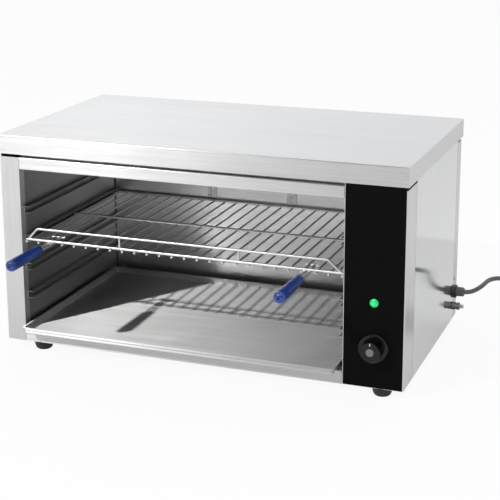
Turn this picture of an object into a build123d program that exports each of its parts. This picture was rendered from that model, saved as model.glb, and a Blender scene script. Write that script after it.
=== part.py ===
from build123d import *
import math
import os

# An electric cheese melter (salamander grill): a stainless cabinet with an open cavity, a sliding
# wire rack in C-section runners, a crumb tray, two tubular heating elements and a control column.
# Millimetres. +X is the user's right, +Y is the back, +Z is up. The feet stand on Z = 0, and the
# origin is under the middle of the overall width and depth.

# ---- driving dimensions: cabinet -----------------------------------------------------------------
body_width = 606.0          # over the side panels
body_depth = 338.0          # front faces to rear panel
overall_height = 325.0      # floor to the top of the cover
foot_height = 13.0
sheet = 1.0                 # outer stainless panels
liner_sheet = 0.8           # cavity liners
bend = 2.0                  # outer radius of a folded edge
sharp_bend = 1.4            # of the lintel's and sill's folded edges
seat_gap = 0.3              # what a piece that isn't folded to its neighbour stands off
slip = 0.2                  # how much smaller a liner is than the space it drops into

cover_overhang = 2.0        # all round, beyond the panels
cover_lip = 27.5            # height of the cover's turned-down lip
cover_edge = 1.4            # rounding of the cover's welded corners
flange = 12.0               # inward flanges that carry the cover

pillar_width = 30.4         # left front post
column_width = 85.5         # control column on the right
column_side = 52.0          # how far the column's skin wraps onto the right side
rear_wrap = 27.0            # how far the rear pan's flanges wrap onto the sides
reveal = 4.8                # dark gap between the cover's lip and the front pieces
reveal_depth = 9.0          # how far the lintel steps back behind the reveal
lintel_height = 17.7
sill_height = 19.0
front_return = 14.0         # depth of the folds round the opening
butt_gap = 0.6              # gap where two front pieces meet edge to edge
lap = 30.0                  # joining strip behind a seam of two panels
strip_above_gland = 13.5    # joining strips' lower ends above the gland's axis
pan_wall = 15.0             # upturned edges of the base pan

# ---- driving dimensions: fascia, lamp and knob ----------------------------------------------------
fascia_thickness = 1.0
fascia_margin = 1.2         # stainless that shows round the fascia
control_x_from_right = 42.0  # knob and lamp, in from the right side
knob_height = 71.0          # axis above the floor
lamp_above_knob = 64.2
skirt_diameter = 43.0
skirt_height = 5.0
hub_diameter = 31.0
hub_face_diameter = 28.4
knob_reach = 20.0           # knob face ahead of the column
knob_disc_diameter = 11.0
knob_disc_depth = 1.0       # recess that the disc sits in
knob_edge = 1.0             # chamfer round the hub's face
knob_clearance = 0.4        # between the knob and the fascia
shaft_diameter = 6.0
shaft_flat = 1.4            # depth of the shaft's D flat
running_fit = 0.06          # radial, round the shaft
boss_diameter = 9.6         # threaded boss of the thermostat, through the column
thermostat_width = 34.0
thermostat_depth = 28.0
thermostat_height = 45.0
terminal_width = 24.0
terminal_length = 58.0
terminal_height = 18.0
terminal_ways = 5
terminal_hole_diameter = 5.0
lamp_lens_diameter = 12.0
lamp_lens_dome = 3.6
lamp_body_diameter = 9.8
lamp_body_length = 26.0
lamp_clip_diameter = 14.0
lamp_clip_height = 2.0
hole_clearance = 0.2        # radial, where a part passes a sheet

# ---- driving dimensions: cavity -------------------------------------------------------------------
cavity_back_in = 27.0       # rear liner's face, in from the back of the body
ceiling_above_lintel = 5.0
liner_foot = 12.0
runner_height = 10.6
runner_depth = 7.8
runner_sheet = 1.0
runner_bend = 1.3
runner_first = 82.2         # centre of the lowest runner above the floor
runner_pitch = 43.4
runner_count = 4
runner_setback = 10.0       # runner ends behind the front faces
runner_end_gap = 3.4        # between the runners and the rear liner
rack_level = 3              # the pair of runners the rack lies in, counted from below

# ---- driving dimensions: wire rack ----------------------------------------------------------------
bar_diameter = 3.0
bar_pitch = 19.15
cross_wire_diameter = 4.0
weld_sink = 0.35            # how far welded wires are pressed into each other
rack_gap_left = 3.6         # end bar to the runner's web: the rack sits against the right
rack_gap_right = 0.7
rack_rest = 0.1             # the end bars above the runners' lower flanges
cross_wire_end = 1.0        # cross wires beyond the end bars
front_wire_setback = 6.0    # front cross wire behind the front faces
bar_front_reach = 3.2       # bar ends ahead of the front cross wire
back_wire_gap = 5.5         # back cross wire to the rear liner
guard_diameter = 3.7        # raised front rail
guard_rise = 17.0           # the rail above the front wire
guard_inset = 2.0           # the rail's ends, in from the front wire's ends
guard_bend = 5.0
guard_slope_left = 15.5     # run of the rail's sloping ends
guard_slope_right = 19.8
guard_posts = (0.31, 0.687)  # posts along the front wire, as shares of its length

# ---- driving dimensions: rack handles -------------------------------------------------------------
handle_reach = 114.0        # grip tip ahead of the front faces
grip_length = 83.0
grip_diameter = 16.4
grip_neck_diameter = 14.4
grip_neck_length = 3.6      # straight part of the neck
grip_belly_from_neck = 27.7
grip_belly_slack = 0.6      # belly's radius below the tip's
grip_tip_round = 6.0
grip_dimple = 2.4
stem_diameter = 3.5
stem_spacing = 7.4
stem_in_grip = 35.0
stem_drop = 3.2             # stems below the front wire's centre
stem_step = 6.0             # run in which the stems rise behind the front wire
stem_tail = 12.0            # stems' ends behind the front wire
stem_bar_length = 20.0
handle_bars = (2, 22)       # bar at each handle, counted from the left
handle_offsets = (0.0, 7.7)  # each handle's middle beyond its bar

# ---- driving dimensions: crumb tray ---------------------------------------------------------------
tray_side_gap = 5.6
tray_front_reach = 22.0     # tray wall ahead of the front faces
tray_back_gap = 18.0
tray_height = 9.2
tray_sheet = 0.8
tray_hem = 2.0              # folded rim, outside the wall
tray_hem_height = 3.0
tray_corner = 3.0
tray_rest = 0.3

# ---- driving dimensions: heating elements ---------------------------------------------------------
element_diameter = 8.0
element_spacing = 60.0      # between the two legs of one element
element_drop = 10.0         # axis below the cavity's ceiling
element_first = 59.0        # front leg behind the front faces
element_pitch = 120.0       # front element to rear element
element_side_gap = 12.0     # bend to the left liner
bush_diameter = 14.0
bush_length = 8.0
pin_diameter = 4.0
pin_length = 16.0
strap_width = 16.0
strap_sheet = 1.5
strap_length = 99.2         # lower end below the elements' axis
strap_places = (0.358, 0.637)  # straps along the cavity's width
slot_width = 3.0
slot_height = 6.0
slot_drops = (91.0, 83.0)   # slots below the elements' axis
strap_bend = 6.0
strap_hook = 20.0           # strap beyond the front leg
mat_corner = 0.8            # insulation mats clear of the liners' folded corners

# ---- driving dimensions: feet, gland, bonding stud, screws ----------------------------------------
foot_diameter = 29.0
foot_flat_diameter = 17.0
foot_waist_diameter = 25.5
foot_flare = 0.2            # slope of the foot's side where it leaves the flat
foot_from_left = 53.0
foot_from_right = 32.0
foot_from_front = 13.5
foot_from_back = 19.0
foot_recess_diameter = 11.0
foot_recess_depth = 8.0
foot_screw_diameter = 5.0
screw_head_diameter = 8.0
screw_head_height = 2.6
foot_screw_reach = 3.0      # beyond the foot's top
gland_height = 55.0
gland_from_back = 18.0
gland_flats = 18.0
gland_nut_length = 4.0
gland_cap_length = 12.0
gland_cap_diameter = 15.0
gland_tip_diameter = 14.0
gland_shank_diameter = 12.0
gland_shank_length = 11.0
gland_bore_depth = 6.0
stud_reach = 18.0           # bonding stud beyond the right side
stud_diameter = 6.0
stud_height = 36.0
stud_from_back = 32.0
stud_flats = 10.0
stud_nut_height = 5.0
stud_nut_space = 1.0        # between the two nuts
washer_diameter = 12.0
washer_thickness = 1.2
stud_head_height = 4.0
panel_screw_diameter = 3.5
panel_screw_head = 6.4
panel_screw_head_height = 1.0
panel_screw_height = 76.0
vent_slot_length = 26.0
vent_slot_height = 4.0
vent_rows = 9
vent_pitch = 12.0

# ---- driving dimensions: mains cord ---------------------------------------------------------------
cord_diameter = 7.0
coil_radius = 49.0          # outermost turn, at the middle of the cord
coil_turn_pitch = 7.6       # turn to turn, and layer to layer
coil_turns_per_layer = 2.5
coil_from_gland = 123.3     # coil's middle beyond the gland's tip
coil_ahead = 47.4           # coil's middle in front of the gland's axis
coil_quarters = 4           # path points in one turn
plug_height = 18.6          # plug axis above the floor, as it lies
plug_lead = 46.0            # run in which the cord rises from the coil to the plug
plug_diameter = 37.0
plug_body_length = 34.0
plug_tail_length = 22.0
plug_tail_diameter = 12.0
plug_collar_diameter = 9.0  # where the cord enters
plug_waist_diameter = 26.6
plug_waist_from_tail = 6.8
plug_shoulder_from_tail = 21.1
plug_pin_diameter = 4.8
plug_pin_length = 19.0
plug_pin_spacing = 19.0

# ---- levels and lines that follow from them -------------------------------------------------------
left = -(cover_overhang + body_width + stud_reach) / 2 + cover_overhang
right = left + body_width
front = -(handle_reach + body_depth + cover_overhang) / 2 + handle_reach
back = front + body_depth
underside = foot_height
pan_top = underside + sheet
cover_under = overall_height - sheet
lip_bottom = overall_height - cover_lip
face_top = lip_bottom - reveal
lintel_bottom = face_top - lintel_height
sill_top = underside + sill_height
opening_left = left + pillar_width
opening_right = right - column_width
opening_width = opening_right - opening_left
liner_front = front + front_return + seat_gap
cavity_back = back - cavity_back_in
liner_back = cavity_back + front_return
rear_seam = back - rear_wrap
column_seam = front + column_side
ceiling = lintel_bottom + ceiling_above_lintel
liner_top = ceiling + liner_foot
element_z = ceiling - element_drop
strap_bottom_z = element_z - strap_length
control_x = right - control_x_from_right
lamp_z = knob_height + lamp_above_knob
foot_x = (left + foot_from_left, right - foot_from_right)
foot_y = (front + foot_from_front, back - foot_from_back)
gland_y = back - gland_from_back
stud_y = back - stud_from_back
strip_z = (gland_height + strip_above_gland, face_top - lap)
element_legs = [
    front + element_first + element_pitch * row + element_spacing * leg
    for row in range(2)
    for leg in range(2)
]

os.makedirs("parts", exist_ok=True)


# ---- small helpers --------------------------------------------------------------------------------
def across(y):
    """The XZ plane at depth y; an extrusion from it runs towards the front."""
    return Plane.XZ.offset(-y)


def fold(plane, points, length, side=Side.LEFT, thickness=sheet, radius=bend):
    """Extrude a folded sheet whose outer line runs through the points."""
    with BuildSketch(plane) as section:
        with BuildLine():
            FilletPolyline(*points, radius=radius)
            offset(amount=thickness, side=side)
        make_face()
    extrude(section.sketch, amount=length)


def block(x, y, z, mode=Mode.ADD):
    """A plain box between the given pairs of limits."""
    with BuildSketch(Plane.XY.offset(z[0])) as section:
        with Locations(((x[0] + x[1]) / 2, (y[0] + y[1]) / 2)):
            Rectangle(x[1] - x[0], y[1] - y[0])
    extrude(section.sketch, amount=z[1] - z[0], mode=mode)


def turned(plane, outline):
    """Revolve a half outline, drawn as (radius, height) points, about the plane's normal."""
    lengthwise = Plane(origin=plane.origin, x_dir=plane.x_dir, z_dir=-plane.y_dir)
    with BuildSketch(lengthwise) as section:
        with BuildLine():
            Polyline(*outline, close=True)
        make_face()
    revolve(section.sketch, axis=Axis(plane.origin, plane.z_dir))


def disc(plane, diameter, height, mode=Mode.ADD):
    """A cylinder standing on a plane."""
    with BuildSketch(plane) as section:
        Circle(diameter / 2)
    extrude(section.sketch, amount=height, mode=mode)


def save(part, name):
    """Label a finished piece and write it."""
    part.label = name
    export_step(part, f"parts/{name}.step")


# ---- top cover ------------------------------------------------------------------------------------
cover_x = (left - cover_overhang, right + cover_overhang)
cover_y = (front - cover_overhang, back + cover_overhang)
with BuildPart() as top_cover:
    block(cover_x, cover_y, (lip_bottom, overall_height))
    fillet(top_cover.edges().filter_by(Axis.Z), cover_edge)
    fillet(top_cover.faces().sort_by(Axis.Z)[-1].edges(), cover_edge)
    offset(amount=-sheet, openings=top_cover.faces().sort_by(Axis.Z)[0])
save(top_cover.part, "top_cover")

# ---- planes of the gland, the bonding stud and the rear panel's screws, facing outwards -----------
gland_plane = Plane(origin=(right, gland_y, gland_height), x_dir=(0, 1, 0), z_dir=(1, 0, 0))
stud_plane = Plane(origin=(right, stud_y, stud_height), x_dir=(0, 1, 0), z_dir=(1, 0, 0))
screw_y = rear_seam + lap / 2 - panel_screw_head
rear_screw_planes = [
    Plane(origin=(side_x, screw_y, panel_screw_height), x_dir=(0, 1, 0), z_dir=(outward, 0, 0))
    for side_x, outward in ((left, -1), (right, 1))
] + [
    Plane(origin=(x, back, underside + pan_wall / 2), x_dir=(1, 0, 0), z_dir=(0, 1, 0))
    for x in (left + lap, right - lap)
]


def rear_screw_holes():
    """Open the current panel where a screw of the rear panel passes."""
    for plane in rear_screw_planes:
        diameter = panel_screw_diameter + 2 * hole_clearance
        disc(plane.offset(-2 * sheet - slip), diameter, 2 * sheet + 2 * slip, Mode.SUBTRACT)


# ---- side panels ----------------------------------------------------------------------------------
with BuildPart() as left_side_panel:
    fold(
        Plane.XY.offset(underside),
        [(opening_left, front), (left, front), (left, rear_seam)],
        face_top - underside,
        Side.RIGHT,
    )
    fold(
        Plane.XY.offset(sill_top),
        [(opening_left, front + front_return), (opening_left, front), (left + bend, front)],
        lintel_bottom - sill_top,
        Side.RIGHT,
    )
    fold(
        across(rear_seam),
        [(left, face_top - bend), (left, cover_under), (left + flange, cover_under)],
        rear_seam - front - bend,
        Side.RIGHT,
    )
    block(
        (left + sheet, left + 2 * sheet),
        (rear_seam - lap / 2, rear_seam + lap / 2),
        strip_z,
    )
    rear_screw_holes()
save(left_side_panel.part, "left_side_panel")

with BuildPart() as right_side_panel:
    block(
        (right - sheet, right),
        (column_seam + butt_gap, rear_seam - butt_gap),
        (underside, cover_under - bend),
    )
    fold(
        across(rear_seam - butt_gap),
        [(right, face_top), (right, cover_under), (right - flange, cover_under)],
        rear_seam - column_seam - 2 * butt_gap,
        Side.LEFT,
    )
    for seam in (column_seam, rear_seam):
        block(
            (right - 2 * sheet, right - sheet),
            (seam - lap / 2, seam + lap / 2),
            strip_z,
        )
    disc(stud_plane, stud_diameter + 2 * hole_clearance, -2 * sheet, Mode.SUBTRACT)
    rear_screw_holes()
save(right_side_panel.part, "right_side_panel")

# ---- control column and its fascia ----------------------------------------------------------------
knob_plane = Plane(origin=(control_x, front, knob_height), x_dir=(1, 0, 0), z_dir=(0, -1, 0))
lamp_plane = Plane(origin=(control_x, front, lamp_z), x_dir=(1, 0, 0), z_dir=(0, -1, 0))


def control_holes(depth):
    """Open the holes for the thermostat's boss and the lamp, both ways from the column's face."""
    for plane, diameter in ((knob_plane, boss_diameter), (lamp_plane, lamp_body_diameter)):
        disc(plane.offset(-depth), diameter + 2 * hole_clearance, 2 * depth, Mode.SUBTRACT)


with BuildPart() as control_column:
    fold(
        Plane.XY.offset(underside),
        [(opening_right, front), (right, front), (right, column_seam)],
        face_top - underside,
    )
    fold(
        Plane.XY.offset(sill_top),
        [(opening_right, front + front_return), (opening_right, front), (right - bend, front)],
        lintel_bottom - sill_top,
    )
    fold(
        Plane.YZ.offset(opening_right),
        [(front, face_top - bend), (front, cover_under), (front + flange, cover_under)],
        column_width - flange,
        Side.RIGHT,
    )
    control_holes(2 * sheet)
save(control_column.part, "control_column")

fascia_top = lip_bottom - butt_gap
with BuildPart() as control_fascia:
    with BuildSketch(across(front)):
        with Locations((opening_right + column_width / 2, (pan_top + fascia_top) / 2)):
            RectangleRounded(
                column_width - 2 * fascia_margin,
                fascia_top - pan_top,
                fascia_thickness,
            )
    extrude(amount=fascia_thickness)
    control_holes(2 * fascia_thickness)
save(control_fascia.part, "control_fascia")

# ---- lintel and sill ------------------------------------------------------------------------------
with BuildPart() as front_lintel:
    step_y = front + reveal_depth
    fold(
        Plane.YZ.offset(opening_left + butt_gap),
        [
            (front + front_return, lintel_bottom),
            (front, lintel_bottom),
            (front, face_top),
            (step_y, face_top),
            (step_y, cover_under),
            (step_y + flange, cover_under),
        ],
        opening_width - 2 * butt_gap,
        Side.RIGHT,
        radius=sharp_bend,
    )
save(front_lintel.part, "front_lintel")

with BuildPart() as front_sill:
    fold(
        Plane.YZ.offset(opening_left + butt_gap),
        [(front, underside), (front, sill_top), (front + front_return, sill_top)],
        opening_width - 2 * butt_gap,
        Side.RIGHT,
        radius=sharp_bend,
    )
save(front_sill.part, "front_sill")

# ---- base pan: floor of the cabinet, folded up at its edges --------------------------------------
pan_x = (left + sheet, right - sheet)
pan_y = (front + sheet, back - sheet)
pan_wall_top = underside + pan_wall
with BuildPart() as base_pan:
    block(pan_x, pan_y, (underside, pan_top))
    fillet(base_pan.edges().filter_by(Axis.Z), bend)
    for y_limits in ((pan_y[0], pan_y[0] + sheet), (pan_y[1] - sheet, pan_y[1])):
        block((pan_x[0] + bend, pan_x[1] - bend), y_limits, (underside, pan_wall_top))
    for x_limits in ((pan_x[0], pan_x[0] + sheet), (pan_x[1] - sheet, pan_x[1])):
        block(x_limits, (column_seam + lap, rear_seam - lap), (underside, pan_wall_top))
    with BuildSketch(Plane.XY.offset(underside)):
        for x in foot_x:
            for y in foot_y:
                with Locations((x, y)):
                    Circle(foot_screw_diameter / 2 + hole_clearance)
        with Locations((control_x, (front + back) / 2)):
            with GridLocations(0, vent_pitch, 1, vent_rows):
                SlotOverall(vent_slot_length, vent_slot_height)
    extrude(amount=sheet, mode=Mode.SUBTRACT)
    rear_screw_holes()
save(base_pan.part, "base_pan")

# ---- rear panel: a shallow pan that wraps onto both sides -----------------------------------------
with BuildPart() as rear_panel:
    fold(
        Plane.XY.offset(underside),
        [(left, rear_seam + butt_gap), (left, back), (right, back), (right, rear_seam + butt_gap)],
        face_top - underside,
        Side.RIGHT,
    )
    fold(
        Plane.YZ.offset(left + bend),
        [(back, face_top - flange), (back, face_top), (back - flange, face_top)],
        body_width - 2 * bend,
        Side.LEFT,
    )
    with BuildSketch(across(back)):
        with Locations((control_x, (underside + face_top) / 2)):
            with GridLocations(0, vent_pitch, 1, vent_rows):
                SlotOverall(vent_slot_length, vent_slot_height)
    extrude(amount=sheet, mode=Mode.SUBTRACT)
    disc(gland_plane, gland_shank_diameter + 2 * hole_clearance, -sheet, Mode.SUBTRACT)
    rear_screw_holes()
save(rear_panel.part, "rear_panel")

# ---- cavity liners --------------------------------------------------------------------------------
with BuildPart() as left_liner:
    fold(
        across(liner_back),
        [(opening_left - liner_foot, pan_top), (opening_left, pan_top), (opening_left, liner_top)],
        liner_back - liner_front,
        Side.LEFT,
        liner_sheet,
    )
save(left_liner.part, "left_liner")

with BuildPart() as right_liner:
    fold(
        across(liner_back),
        [
            (opening_right + liner_foot, pan_top),
            (opening_right, pan_top),
            (opening_right, liner_top),
        ],
        liner_back - liner_front,
        Side.RIGHT,
        liner_sheet,
    )
    with BuildSketch(Plane.YZ.offset(opening_right)):
        for y in element_legs:
            with Locations((y, element_z)):
                Circle(element_diameter / 2 + hole_clearance)
    extrude(amount=liner_sheet, mode=Mode.SUBTRACT)
save(right_liner.part, "right_liner")

liner_x = (opening_left + slip, opening_right - slip)
with BuildPart() as cavity_floor:
    fold(
        across(liner_back),
        [(liner_x[0], pan_top), (liner_x[0], sill_top), (liner_x[1], sill_top), (liner_x[1], pan_top)],
        liner_back - liner_front,
        Side.RIGHT,
        liner_sheet,
    )
save(cavity_floor.part, "cavity_floor")

with BuildPart() as rear_liner:
    fold(
        Plane.XY.offset(sill_top),
        [
            (liner_x[0], liner_back),
            (liner_x[0], cavity_back),
            (liner_x[1], cavity_back),
            (liner_x[1], liner_back),
        ],
        ceiling - sill_top,
        Side.LEFT,
        liner_sheet,
    )
save(rear_liner.part, "rear_liner")

ceiling_front = front + front_return - ceiling_above_lintel
with BuildPart() as ceiling_liner:
    fold(
        across(liner_back),
        [
            (liner_x[0], liner_top - bend),
            (liner_x[0], ceiling),
            (liner_x[1], ceiling),
            (liner_x[1], liner_top - bend),
        ],
        liner_back - ceiling_front,
        Side.LEFT,
        liner_sheet,
    )
    block(
        (liner_x[0] + bend, liner_x[1] - bend),
        (ceiling_front, ceiling_front + liner_sheet),
        (lintel_bottom + sheet, ceiling + liner_sheet),
    )
save(ceiling_liner.part, "ceiling_liner")

# ---- runners: four C-section channels on each side wall -------------------------------------------
runner_y = (front + runner_setback, cavity_back - runner_end_gap)


def make_runner(wall_x, inward, centre_z, name):
    """One channel, its web on the wall and its mouth towards the cavity."""
    mouth_x = wall_x + inward * runner_depth
    with BuildPart() as runner:
        fold(
            across(runner_y[1]),
            [
                (mouth_x, centre_z - runner_height / 2),
                (wall_x, centre_z - runner_height / 2),
                (wall_x, centre_z + runner_height / 2),
                (mouth_x, centre_z + runner_height / 2),
            ],
            runner_y[1] - runner_y[0],
            Side.RIGHT if inward > 0 else Side.LEFT,
            runner_sheet,
            runner_bend,
        )
    save(runner.part, name)


for level in range(runner_count):
    level_z = runner_first + runner_pitch * level
    make_runner(opening_left, 1, level_z, f"left_runner_{level + 1}")
    make_runner(opening_right, -1, level_z, f"right_runner_{level + 1}")

# ---- wire rack: bars welded under cross wires, with a raised front rail and handle stems ----------
rack_runner_z = runner_first + runner_pitch * (rack_level - 1)
bar_z = rack_runner_z - runner_height / 2 + runner_sheet + rack_rest + bar_diameter / 2
cross_z = bar_z + (bar_diameter + cross_wire_diameter) / 2 - weld_sink
first_bar = opening_left + runner_sheet + rack_gap_left + bar_diameter / 2
last_bar = opening_right - runner_sheet - rack_gap_right - bar_diameter / 2
bar_spaces = round((last_bar - first_bar) / bar_pitch)
bar_step = (last_bar - first_bar) / bar_spaces
front_wire_y = front + front_wire_setback
back_wire_y = cavity_back - back_wire_gap
bar_front = front_wire_y - bar_front_reach
bar_back = back_wire_y + bar_front_reach
wire_x = (first_bar - cross_wire_end, last_bar + cross_wire_end)
guard_z = cross_z + guard_rise
stem_z = cross_z - stem_drop
stem_rise_z = bar_z + (bar_diameter + stem_diameter) / 2 - weld_sink
grip_back = front - handle_reach + grip_length
handle_x = {
    side: first_bar + bar * bar_step + offset_x
    for side, bar, offset_x in zip(("left", "right"), handle_bars, handle_offsets)
}

with BuildPart() as wire_rack:
    with BuildSketch(across(bar_back)):
        for bar in range(bar_spaces + 1):
            with Locations((first_bar + bar * bar_step, bar_z)):
                Circle(bar_diameter / 2)
    extrude(amount=bar_back - bar_front)
    with BuildSketch(Plane.YZ.offset(wire_x[0])):
        for y in (front_wire_y, (front_wire_y + back_wire_y) / 2, back_wire_y):
            with Locations((y, cross_z)):
                Circle(cross_wire_diameter / 2)
    extrude(amount=wire_x[1] - wire_x[0])
    # The guard rail starts and ends in the front wire's ends.
    rail_left = Vector(wire_x[0] + guard_inset, front_wire_y, cross_z)
    rail_right = Vector(wire_x[1] - guard_inset, front_wire_y, cross_z)
    with BuildLine() as rail_line:
        FilletPolyline(
            rail_left,
            (rail_left.X + guard_slope_left, front_wire_y, guard_z),
            (rail_right.X - guard_slope_right, front_wire_y, guard_z),
            rail_right,
            radius=guard_bend,
        )
    with BuildSketch(Plane(rail_line.line @ 0, z_dir=rail_line.line % 0)):
        Circle(guard_diameter / 2)
    sweep()
    for share in guard_posts:
        post_x = wire_x[0] + share * (wire_x[1] - wire_x[0])
        disc(
            Plane((post_x, front_wire_y, cross_z)),
            bar_diameter,
            guard_rise,
        )
    # Each handle's two stems pass under the front wire, rise behind it and end in a short bar.
    for centre_x in handle_x.values():
        for sign in (-1, 1):
            stem_x = centre_x + sign * stem_spacing / 2
            with BuildLine() as stem_line:
                FilletPolyline(
                    (stem_x, grip_back - stem_in_grip, stem_z),
                    (stem_x, front_wire_y + stem_step, stem_z),
                    (stem_x, front_wire_y + 2 * stem_step, stem_rise_z),
                    (stem_x, front_wire_y + 2 * stem_step + stem_tail, stem_rise_z),
                    radius=stem_diameter,
                )
            with BuildSketch(Plane(stem_line.line @ 0, z_dir=stem_line.line % 0)):
                Circle(stem_diameter / 2)
            sweep()
        disc(
            Plane(
                origin=(
                    centre_x - stem_bar_length / 2,
                    front_wire_y + 2 * stem_step + stem_tail,
                    stem_rise_z,
                ),
                z_dir=(1, 0, 0),
            ),
            stem_diameter,
            stem_bar_length,
        )
save(wire_rack.part, "wire_rack")


def make_grip(centre_x, name):
    """A moulded sleeve, thickest near its rounded tip, drawn in at the neck, dimpled at the tip."""
    plane = Plane(origin=(centre_x, grip_back, stem_z), x_dir=(1, 0, 0), z_dir=(0, -1, 0))
    section = Plane(origin=plane.origin, x_dir=plane.x_dir, z_dir=(0, 0, -1))
    tip_radius = grip_diameter / 2
    with BuildPart() as grip:
        with BuildSketch(section):
            with BuildLine():
                Polyline(
                    (0, grip_dimple / 2),
                    (0, 0),
                    (grip_neck_diameter / 2, 0),
                    (grip_neck_diameter / 2, grip_neck_length),
                )
                Spline(
                    (grip_neck_diameter / 2, grip_neck_length),
                    (tip_radius - grip_belly_slack, grip_belly_from_neck),
                    (tip_radius, grip_length - grip_tip_round),
                    tangents=[(0, 1), (0, 1)],
                )
                RadiusArc(
                    (tip_radius, grip_length - grip_tip_round),
                    (tip_radius - grip_tip_round, grip_length),
                    -grip_tip_round,
                )
                Line(
                    (tip_radius - grip_tip_round, grip_length),
                    (0, grip_length - grip_dimple),
                )
                Line((0, grip_length - grip_dimple), (0, grip_dimple / 2))
            make_face()
        revolve(axis=Axis(plane.origin, plane.z_dir))
        with BuildSketch(plane):
            with GridLocations(stem_spacing, 0, 2, 1):
                Circle(stem_diameter / 2 + running_fit)
        extrude(amount=stem_in_grip + hole_clearance, mode=Mode.SUBTRACT)
    save(grip.part, name)


for side_name, centre_x in handle_x.items():
    make_grip(centre_x, f"{side_name}_handle_grip")

# ---- crumb tray -----------------------------------------------------------------------------------
tray_x = (opening_left + tray_side_gap, opening_right - tray_side_gap)
tray_y = (front - tray_front_reach, cavity_back - tray_back_gap)
tray_z = (sill_top + tray_rest, sill_top + tray_rest + tray_height)
with BuildPart() as crumb_tray:
    block(
        (tray_x[0] + tray_hem, tray_x[1] - tray_hem),
        (tray_y[0] + tray_hem, tray_y[1] - tray_hem),
        tray_z,
    )
    fillet(crumb_tray.edges().filter_by(Axis.Z), tray_corner)
    fillet(crumb_tray.faces().sort_by(Axis.Z)[0].edges(), bend)
    offset(amount=-tray_sheet, openings=crumb_tray.faces().sort_by(Axis.Z)[-1])
    with BuildSketch(Plane.XY.offset(tray_z[1] - tray_hem_height)):
        with Locations(((tray_x[0] + tray_x[1]) / 2, (tray_y[0] + tray_y[1]) / 2)):
            RectangleRounded(
                tray_x[1] - tray_x[0],
                tray_y[1] - tray_y[0],
                tray_corner + tray_hem,
            )
            RectangleRounded(
                tray_x[1] - tray_x[0] - 2 * tray_hem,
                tray_y[1] - tray_y[0] - 2 * tray_hem,
                tray_corner,
                mode=Mode.SUBTRACT,
            )
    extrude(amount=tray_hem_height)
save(crumb_tray.part, "crumb_tray")

# ---- heating elements -----------------------------------------------------------------------------
element_left = opening_left + element_side_gap + element_diameter / 2
element_end = opening_right + liner_sheet + bush_length


def make_element(first_leg, name):
    """A hairpin tube whose two ends pass the right liner and end in bushes and terminal pins."""
    second_leg = first_leg + element_spacing
    bend_x = element_left + element_spacing / 2
    with BuildPart() as element:
        with BuildLine() as path:
            Line((element_end, first_leg, element_z), (bend_x, first_leg, element_z))
            ThreePointArc(
                (bend_x, first_leg, element_z),
                (element_left, (first_leg + second_leg) / 2, element_z),
                (bend_x, second_leg, element_z),
            )
            Line((bend_x, second_leg, element_z), (element_end, second_leg, element_z))
        with BuildSketch(Plane(path.line @ 0, z_dir=path.line % 0)):
            Circle(element_diameter / 2)
        sweep()
        for leg in (first_leg, second_leg):
            disc(
                Plane.YZ.offset(opening_right + liner_sheet).shift_origin(
                    (opening_right + liner_sheet, leg, element_z)
                ),
                bush_diameter,
                bush_length,
            )
            disc(
                Plane.YZ.offset(element_end).shift_origin((element_end, leg, element_z)),
                pin_diameter,
                pin_length,
            )
    save(element.part, name)


make_element(element_legs[0], "heating_element_front")
make_element(element_legs[2], "heating_element_rear")

strap_top = element_z - element_diameter / 2 - seat_gap


def make_strap(centre_x, name):
    """A strip that hangs on the rear liner, runs forward under the elements and hooks up in front."""
    hook_y = element_legs[0] - strap_hook
    with BuildPart() as strap:
        fold(
            Plane.YZ.offset(centre_x - strap_width / 2),
            [
                (cavity_back, strap_bottom_z),
                (cavity_back, strap_top),
                (hook_y, strap_top),
                (hook_y, ceiling),
            ],
            strap_width,
            Side.LEFT,
            strap_sheet,
            strap_bend,
        )
        with BuildSketch(across(cavity_back)):
            for drop in slot_drops:
                with Locations((centre_x, element_z - drop)):
                    Rectangle(slot_width, slot_height)
        extrude(amount=strap_sheet, mode=Mode.SUBTRACT)
    save(strap.part, name)


for share, side_name in zip(strap_places, ("left", "right")):
    make_strap(opening_left + share * opening_width, f"element_strap_{side_name}")

# ---- insulation mats behind the liners ------------------------------------------------------------
mat_z = (pan_wall_top + sheet, ceiling - sheet)
with BuildPart() as insulation_left:
    block(
        (left + 2 * sheet + seat_gap, opening_left - liner_sheet - seat_gap),
        (front + front_return + seat_gap, rear_seam),
        mat_z,
    )
save(insulation_left.part, "insulation_left")

with BuildPart() as insulation_right:
    block(
        (opening_right + liner_sheet + seat_gap, opening_right + liner_foot - seat_gap),
        (front + front_return + seat_gap, rear_seam),
        mat_z,
    )
    with BuildSketch(Plane.YZ.offset(opening_right)):
        for y in element_legs:
            with Locations((y, element_z)):
                Circle(bush_diameter / 2 + seat_gap)
    extrude(amount=liner_foot, mode=Mode.SUBTRACT)
save(insulation_right.part, "insulation_right")

with BuildPart() as insulation_rear:
    block(
        (liner_x[0] + liner_sheet + mat_corner, liner_x[1] - liner_sheet - mat_corner),
        (cavity_back + liner_sheet + seat_gap, back - 2 * sheet - seat_gap),
        (sill_top + seat_gap, ceiling - sheet),
    )
save(insulation_rear.part, "insulation_rear")

with BuildPart() as insulation_top:
    block(
        (liner_x[0] + liner_sheet + mat_corner, liner_x[1] - liner_sheet - mat_corner),
        (front + reveal_depth + sheet + seat_gap, liner_back),
        (ceiling + liner_sheet + seat_gap, cover_under - sheet - seat_gap),
    )
save(insulation_top.part, "insulation_top")

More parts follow.
